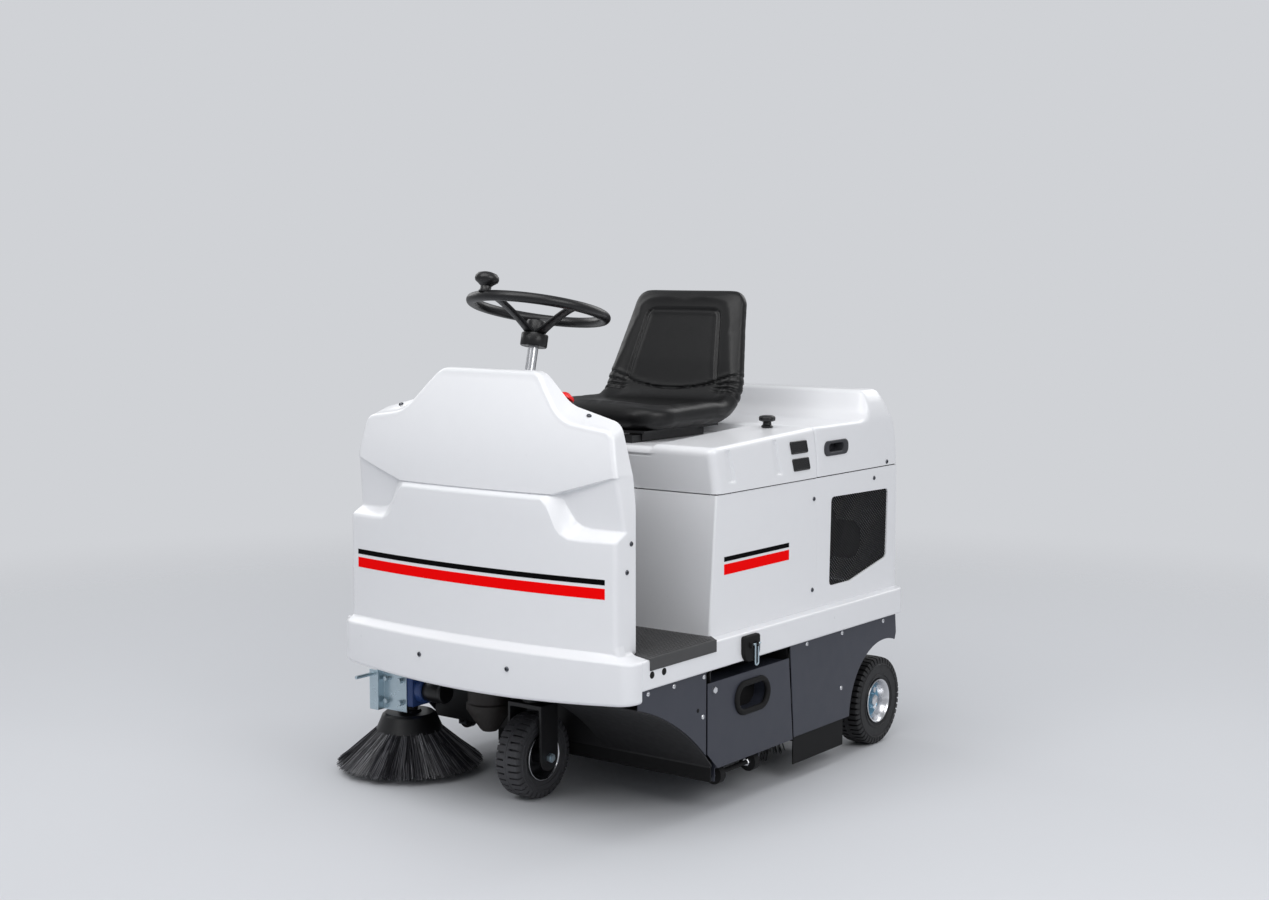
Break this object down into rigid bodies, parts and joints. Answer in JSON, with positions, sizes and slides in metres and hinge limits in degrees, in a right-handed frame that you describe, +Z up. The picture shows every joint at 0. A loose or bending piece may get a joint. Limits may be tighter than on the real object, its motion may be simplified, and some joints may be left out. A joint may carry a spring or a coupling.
{
  "type": "ride-on floor sweeper",
  "caption": "Ride-on floor sweeper: steered front wheel, side and main brushes, slide-out side hoppers, tilting seat hood and rear cover, sliding seat and pedals.",
  "frame": {"origin": "centre of the bounding box on the floor plane under the tyres", "axes": "+Z up, -Y the driving direction, +X the driver's left"},
  "size_m": [1.167, 1.418, 1.3804],
  "materials": {
    "white_cover": "gloss",
    "white_paint": "gloss",
    "grey_paint": "satin",
    "frame_paint": "satin",
    "black_plastic": "matte",
    "dash_plastic": "matte",
    "black_rubber": "matte",
    "tyre_rubber": "matte",
    "zinc_steel": "satin",
    "bright_steel": "polished",
    "cast_metal": "matte",
    "gear_blue": "gloss",
    "vinyl": "satin",
    "red_plastic": "gloss",
    "bristle": "matte",
    "filter_cloth": "matte",
    "bronze": "satin"
  },
  "bodies": {
    "chassis": {"main_frame": "frame_paint", "side_sills": "white_paint", "front_fairing": "white_cover", "dash_panel": "dash_plastic", "floor_mat": "black_rubber", "seat_box": "white_cover", "rear_body": "white_cover", "grilles": "frame_paint", "front_skirt": "grey_paint", "rear_skirts": "grey_paint", "front_bulkhead": "frame_paint", "rubber_flaps": "black_rubber", "batteries": "black_plastic", "filter_panel": "filter_cloth", "fan_housing": "black_plastic", "rear_axle": "frame_paint", "traction_motor": "frame_paint", "bushes": "bronze", "steering_case": "frame_paint", "fasteners": "zinc_steel", "latch_bases": "black_rubber", "side_brush_bracket": "cast_metal"},
    "fork": {"steering_fork": "frame_paint", "front_axle": "zinc_steel"},
    "front_wheel": {"front_tyre": "tyre_rubber", "front_rim": "zinc_steel"},
    "steering": {"steering_wheel": "black_plastic", "column_shaft": "bright_steel"},
    "spinner": {"spinner_knob": "black_plastic"},
    "rear_wheel_left": {"rear_tyre_left": "tyre_rubber", "rear_rim_left": "zinc_steel"},
    "rear_wheel_right": {"rear_tyre_right": "tyre_rubber", "rear_rim_right": "zinc_steel"},
    "side_arm": {"side_brush_arm": "zinc_steel", "side_brush_motor": "gear_blue"},
    "side_brush": {"side_brush_disc": "black_plastic", "side_brush_bristles": "bristle"},
    "main_arm": {"main_brush_arms": "frame_paint", "main_brush_motor": "frame_paint"},
    "main_brush": {"main_brush_core": "black_plastic", "main_brush_bristles": "bristle"},
    "drawer_left": {"hopper_left": "grey_paint"},
    "drawer_right": {"hopper_right": "grey_paint"},
    "rollers_left": {"hopper_rollers_left": "black_rubber"},
    "rollers_right": {"hopper_rollers_right": "black_rubber"},
    "latch_left": {"latch_hook_left": "zinc_steel"},
    "latch_right": {"latch_hook_right": "zinc_steel"},
    "hood": {"seat_hood": "white_cover", "hood_vents": "black_plastic", "seat_rails": "frame_paint"},
    "knob": {"hood_knob": "black_plastic"},
    "seat": {"seat_pan": "frame_paint", "seat_pad": "vinyl"},
    "cover": {"rear_cover": "white_cover", "cover_handles": "black_plastic"},
    "button": {"emergency_button": "red_plastic"},
    "ignition": {"key": "zinc_steel"},
    "accelerator": {"accelerator_pedal": "black_plastic"},
    "brake": {"brake_pedal": "black_plastic"},
    "impeller": {"fan_impeller": "black_plastic"}
  },
  "joints": [
    {"name": "fork_steer", "type": "hinge", "parent": "chassis", "child": "fork", "pos_m": [0.0695, -0.432, 0.3], "axis": [0, 0, 1], "range_deg": [-60, 60]},
    {"name": "steering_turn", "type": "hinge", "parent": "chassis", "child": "steering", "pos_m": [0.0695, -0.4, 1.277], "axis": [0, 0.2215, 0.9751], "range_deg": [-120, 120]},
    {"name": "spinner_turn", "type": "hinge", "parent": "steering", "child": "spinner", "pos_m": [0.03047, -0.56485, 1.31445], "axis": [0, 0.2215, 0.9751], "continuous": true},
    {"name": "front_wheel_spin", "type": "hinge", "parent": "fork", "child": "front_wheel", "pos_m": [0.0695, -0.432, 0.112], "axis": [1, 0, 0], "continuous": true},
    {"name": "rear_left_spin", "type": "hinge", "parent": "chassis", "child": "rear_wheel_left", "pos_m": [0.4945, 0.581, 0.128], "axis": [1, 0, 0], "continuous": true},
    {"name": "rear_right_spin", "type": "hinge", "parent": "chassis", "child": "rear_wheel_right", "pos_m": [-0.3555, 0.581, 0.128], "axis": [1, 0, 0], "continuous": true},
    {"name": "side_arm_lift", "type": "hinge", "parent": "chassis", "child": "side_arm", "pos_m": [-0.1925, -0.466, 0.33], "axis": [0, 1, 0], "range_deg": [0, 10]},
    {"name": "side_brush_spin", "type": "hinge", "parent": "side_arm", "child": "side_brush", "pos_m": [-0.3805, -0.426, 0.1], "axis": [0, 0, 1], "continuous": true},
    {"name": "main_arm_lift", "type": "hinge", "parent": "chassis", "child": "main_arm", "pos_m": [0.0695, 0.369, 0.3], "axis": [-1, 0, 0], "range_deg": [0, 5]},
    {"name": "main_brush_spin", "type": "hinge", "parent": "main_arm", "child": "main_brush", "pos_m": [0.0695, 0.227, 0.125], "axis": [1, 0, 0], "continuous": true},
    {"name": "drawer_left_slide", "type": "slide", "parent": "chassis", "child": "drawer_left", "axis": [1, 0, 0], "range_m": [0, 0.4]},
    {"name": "drawer_right_slide", "type": "slide", "parent": "chassis", "child": "drawer_right", "axis": [-1, 0, 0], "range_m": [0, 0.4]},
    {"name": "rollers_left_spin", "type": "hinge", "parent": "drawer_left", "child": "rollers_left", "pos_m": [0.5195, -0.163, 0.092], "axis": [0, 1, 0], "continuous": true},
    {"name": "rollers_right_spin", "type": "hinge", "parent": "drawer_right", "child": "rollers_right", "pos_m": [-0.3805, -0.103, 0.092], "axis": [0, 1, 0], "continuous": true},
    {"name": "latch_left_swing", "type": "hinge", "parent": "chassis", "child": "latch_left", "pos_m": [0.5785, -0.142, 0.422], "axis": [0, -1, 0], "range_deg": [0, 75]},
    {"name": "latch_right_swing", "type": "hinge", "parent": "chassis", "child": "latch_right", "pos_m": [-0.4395, -0.142, 0.422], "axis": [0, 1, 0], "range_deg": [0, 75]},
    {"name": "hood_tilt", "type": "hinge", "parent": "chassis", "child": "hood", "pos_m": [0.0695, -0.282, 0.8135], "axis": [1, 0, 0], "range_deg": [0, 35]},
    {"name": "knob_turn", "type": "hinge", "parent": "hood", "child": "knob", "pos_m": [0.4185, 0.149, 0.953], "axis": [0, 0, 1], "range_deg": [0, 90]},
    {"name": "seat_slide", "type": "slide", "parent": "hood", "child": "seat", "axis": [0, 1, 0], "range_m": [-0.03, 0.04]},
    {"name": "cover_tilt", "type": "hinge", "parent": "chassis", "child": "cover", "pos_m": [0.0695, 0.687, 0.8135], "axis": [-1, 0, 0], "range_deg": [0, 75]},
    {"name": "button_press", "type": "slide", "parent": "chassis", "child": "button", "axis": [0, -0.4856, -0.8742], "range_m": [0, 0.006], "stiffness_N_per_m": 900, "springref_m": -0.004},
    {"name": "key_turn", "type": "hinge", "parent": "chassis", "child": "ignition", "pos_m": [-0.0155, -0.42468, 1.0376], "axis": [0, 0.4856, 0.8742], "range_deg": [0, 90]},
    {"name": "accelerator_press", "type": "hinge", "parent": "chassis", "child": "accelerator", "pos_m": [-0.0955, -0.514, 0.66], "axis": [-1, 0, 0], "range_deg": [0, 10], "stiffness_Nm_per_rad": 4, "springref_deg": -20.05},
    {"name": "brake_press", "type": "hinge", "parent": "chassis", "child": "brake", "pos_m": [0.2345, -0.514, 0.66], "axis": [-1, 0, 0], "range_deg": [0, 10], "stiffness_Nm_per_rad": 4, "springref_deg": -20.05},
    {"name": "impeller_spin", "type": "hinge", "parent": "chassis", "child": "impeller", "pos_m": [0.3145, 0.521, 0.604], "axis": [1, 0, 0], "continuous": true}
  ],
  "couplings": [
    {"joint": "steering_turn", "follows": "fork_steer", "ratio": 2}
  ]
}
